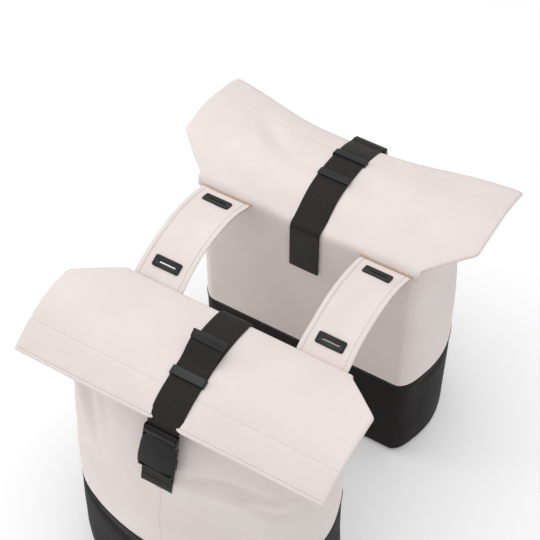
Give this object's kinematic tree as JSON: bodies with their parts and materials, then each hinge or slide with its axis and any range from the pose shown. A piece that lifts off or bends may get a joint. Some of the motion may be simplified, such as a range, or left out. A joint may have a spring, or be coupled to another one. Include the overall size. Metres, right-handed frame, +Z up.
{
  "type": "pannier bag",
  "caption": "Twin pannier bag with folded flaps, wide straps and buckles, joined by arched bridges that lie over a rear rack.",
  "frame": {"origin": "middle of the base, on the floor that both bags stand on", "axes": "+X to the front of the bicycle, +Y to its left side, +Z up"},
  "size_m": [0.492, 0.66, 0.5244],
  "materials": {
    "pale_coated_fabric": "matt coated tarpaulin, pale pink-white",
    "black_coated_fabric": "matt coated tarpaulin, black",
    "black_lining": "woven lining, black",
    "black_webbing": "woven polyester webbing, black",
    "black_plastic": "moulded acetal, satin black",
    "grey_plastic": "moulded nylon, satin dark grey",
    "board_plastic": "polyethylene sheet, dark",
    "tan_binding": "folded edge of the coated fabric, tan"
  },
  "bodies": {
    "bridges": {"rear_bridge_cover": "pale_coated_fabric", "rear_bridge_lining": "black_lining", "rear_left_eyelet": "grey_plastic", "rear_right_eyelet": "grey_plastic", "front_bridge_cover": "pale_coated_fabric", "front_bridge_lining": "black_lining", "front_left_eyelet": "grey_plastic", "front_right_eyelet": "grey_plastic", "eyelet_back_plates": "grey_plastic", "left_seam_piping": "tan_binding", "right_seam_piping": "tan_binding"},
    "left_bag": {"left_body_shell": "pale_coated_fabric", "left_boot": "black_coated_fabric", "left_base_board": "board_plastic", "left_back_board": "board_plastic", "left_strap_anchor": "black_webbing", "left_front_tab": "black_webbing", "left_buckle_catch": "black_plastic"},
    "left_flap": {"left_flap_top": "pale_coated_fabric", "left_flap_lining": "pale_coated_fabric", "left_flap_stiffener": "board_plastic"},
    "left_strap": {"left_strap_webbing": "black_webbing", "left_strap_tail_clip": "black_webbing", "left_buckle_plate": "black_plastic"},
    "left_keeper": {"left_strap_keeper": "black_webbing"},
    "left_front_button": {"left_buckle_front_button": "black_plastic"},
    "left_rear_button": {"left_buckle_rear_button": "black_plastic"},
    "right_bag": {"right_body_shell": "pale_coated_fabric", "right_boot": "black_coated_fabric", "right_base_board": "board_plastic", "right_back_board": "board_plastic", "right_strap_anchor": "black_webbing", "right_front_tab": "black_webbing", "right_buckle_catch": "black_plastic"},
    "right_flap": {"right_flap_top": "pale_coated_fabric", "right_flap_lining": "pale_coated_fabric", "right_flap_stiffener": "board_plastic"},
    "right_strap": {"right_strap_webbing": "black_webbing", "right_strap_tail_clip": "black_webbing", "right_buckle_plate": "black_plastic"},
    "right_keeper": {"right_strap_keeper": "black_webbing"},
    "right_front_button": {"right_buckle_front_button": "black_plastic"},
    "right_rear_button": {"right_buckle_rear_button": "black_plastic"}
  },
  "joints": [
    {"name": "left_bag_swing", "type": "hinge", "parent": "bridges", "child": "left_bag", "pos_m": [0, 0.0957, 0.4873], "axis": [-1, 0, 0], "range_deg": [-60, 0]},
    {"name": "left_flap_fold", "type": "hinge", "parent": "left_bag", "child": "left_flap", "pos_m": [0, 0.106, 0.49768], "axis": [1, 0, 0], "range_deg": [0, 90]},
    {"name": "left_strap_lift", "type": "hinge", "parent": "left_flap", "child": "left_strap", "pos_m": [0, 0.106, 0.49768], "axis": [-1, 0, 0], "range_deg": [-60, 0]},
    {"name": "left_keeper_slide", "type": "hinge", "parent": "left_strap", "child": "left_keeper", "pos_m": [0, 0.18, 0.31], "axis": [-1, 0, 0], "range_deg": [-3.3, 3.3]},
    {"name": "left_front_button_squeeze", "type": "slide", "parent": "left_strap", "child": "left_front_button", "axis": [-1, 0, 0], "range_m": [0, 0.0025], "stiffness_N_per_m": 500},
    {"name": "left_rear_button_squeeze", "type": "slide", "parent": "left_strap", "child": "left_rear_button", "axis": [1, 0, 0], "range_m": [0, 0.0025], "stiffness_N_per_m": 500},
    {"name": "right_bag_swing", "type": "hinge", "parent": "bridges", "child": "right_bag", "pos_m": [0, -0.0957, 0.4873], "axis": [1, 0, 0], "range_deg": [-60, 0]},
    {"name": "right_flap_fold", "type": "hinge", "parent": "right_bag", "child": "right_flap", "pos_m": [0, -0.106, 0.49768], "axis": [-1, 0, 0], "range_deg": [0, 90]},
    {"name": "right_strap_lift", "type": "hinge", "parent": "right_flap", "child": "right_strap", "pos_m": [0, -0.106, 0.49768], "axis": [1, 0, 0], "range_deg": [-60, 0]},
    {"name": "right_keeper_slide", "type": "hinge", "parent": "right_strap", "child": "right_keeper", "pos_m": [0, -0.18, 0.31], "axis": [1, 0, 0], "range_deg": [-3.3, 3.3]},
    {"name": "right_front_button_squeeze", "type": "slide", "parent": "right_strap", "child": "right_front_button", "axis": [-1, 0, 0], "range_m": [0, 0.0025], "stiffness_N_per_m": 500},
    {"name": "right_rear_button_squeeze", "type": "slide", "parent": "right_strap", "child": "right_rear_button", "axis": [1, 0, 0], "range_m": [0, 0.0025], "stiffness_N_per_m": 500}
  ]
}
